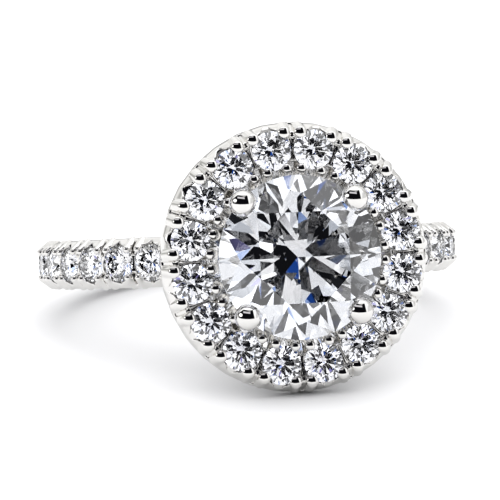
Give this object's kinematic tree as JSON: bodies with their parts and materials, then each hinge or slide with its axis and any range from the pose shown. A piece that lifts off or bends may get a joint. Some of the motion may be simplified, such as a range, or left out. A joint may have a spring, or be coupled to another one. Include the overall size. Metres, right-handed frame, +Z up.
{
  "type": "halo ring",
  "caption": "Round halo ring with a four-prong centre stone inside a circle of small stones, and a stone-set band.",
  "frame": {"origin": "middle of the ring's box on the surface it lies on", "axes": "+Z up from the surface, -Y from the finger hole towards the head with its centre stone, +X along the band's width of 20 mm to the right as the head is seen from the front"},
  "size_m": [0.0202, 0.0244, 0.0108],
  "materials": {
    "white_gold": "high polish, bright white gold",
    "center_diamond": "polished flat facets, near colourless",
    "small_diamond": "polished flat facets, near colourless"
  },
  "bodies": {
    "root": {"mounting": "white_gold", "center_stone": "center_diamond", "halo_stone_01": "small_diamond", "halo_stone_02": "small_diamond", "halo_stone_03": "small_diamond", "halo_stone_04": "small_diamond", "halo_stone_05": "small_diamond", "halo_stone_06": "small_diamond", "halo_stone_07": "small_diamond", "halo_stone_08": "small_diamond", "halo_stone_09": "small_diamond", "halo_stone_10": "small_diamond", "halo_stone_11": "small_diamond", "halo_stone_12": "small_diamond", "halo_stone_13": "small_diamond", "halo_stone_14": "small_diamond", "halo_stone_15": "small_diamond", "halo_stone_16": "small_diamond", "band_stone_01": "small_diamond", "band_stone_02": "small_diamond", "band_stone_03": "small_diamond", "band_stone_04": "small_diamond", "band_stone_05": "small_diamond", "band_stone_06": "small_diamond", "band_stone_07": "small_diamond", "band_stone_08": "small_diamond", "band_stone_09": "small_diamond", "band_stone_10": "small_diamond", "band_stone_11": "small_diamond", "band_stone_12": "small_diamond", "band_stone_13": "small_diamond", "band_stone_14": "small_diamond", "band_stone_15": "small_diamond", "band_stone_16": "small_diamond"}
  },
  "joints": []
}
